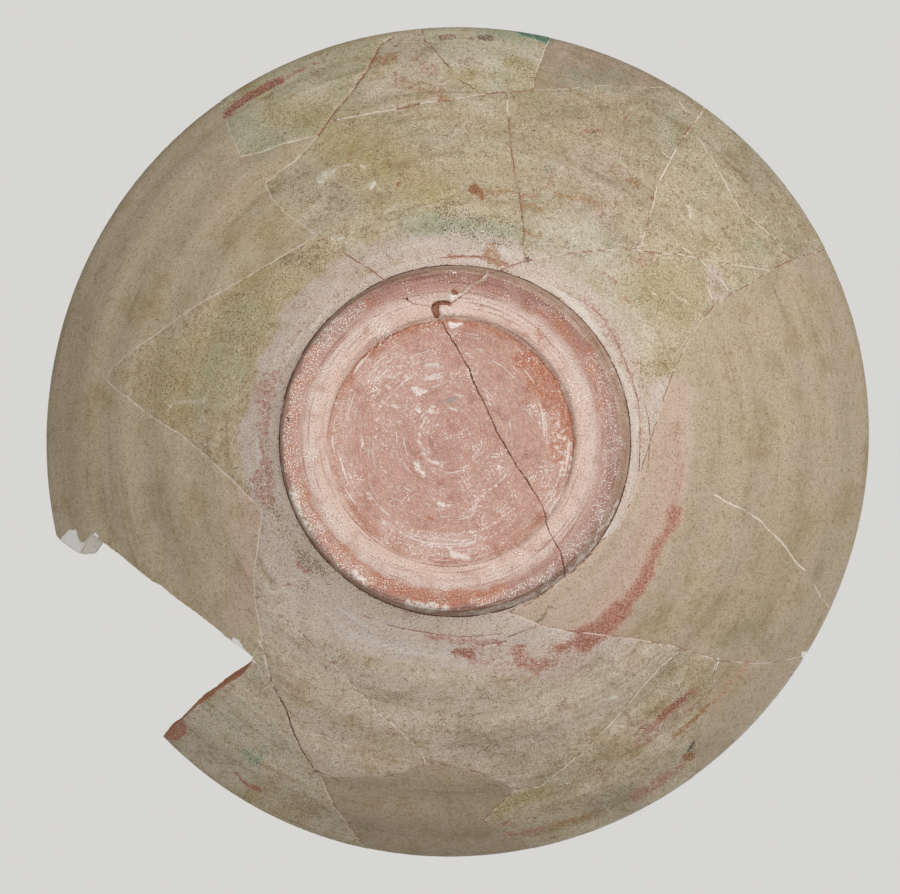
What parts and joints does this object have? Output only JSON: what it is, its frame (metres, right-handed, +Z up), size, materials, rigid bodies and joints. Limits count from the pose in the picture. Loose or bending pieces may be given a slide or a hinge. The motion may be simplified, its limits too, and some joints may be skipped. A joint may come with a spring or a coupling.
{
  "type": "earthenware bowl",
  "caption": "Wide open bowl of thrown earthenware on a low turned foot, mended from its sherds, with plaster fills and one open loss at the rim.",
  "frame": {"origin": "centre of the foot's underside, on the surface the bowl stands on", "axes": "+Z up along the bowl's turning axis, towards its open side; the open loss in the rim is towards +X and -Y"},
  "size_m": [0.2598, 0.2598, 0.0719],
  "materials": {
    "slipped_earthenware": "cream slip under a thin worn glaze, stained green and brown, over pink clay that is bare on the foot",
    "painted_plaster": "matt plaster toned olive tan"
  },
  "bodies": {
    "root": {"earthenware_bowl": "slipped_earthenware", "plaster_fill_gap_side": "painted_plaster", "plaster_fill_large": "painted_plaster", "plaster_fill_front": "painted_plaster", "plaster_fill_back_rim": "painted_plaster"}
  },
  "joints": []
}
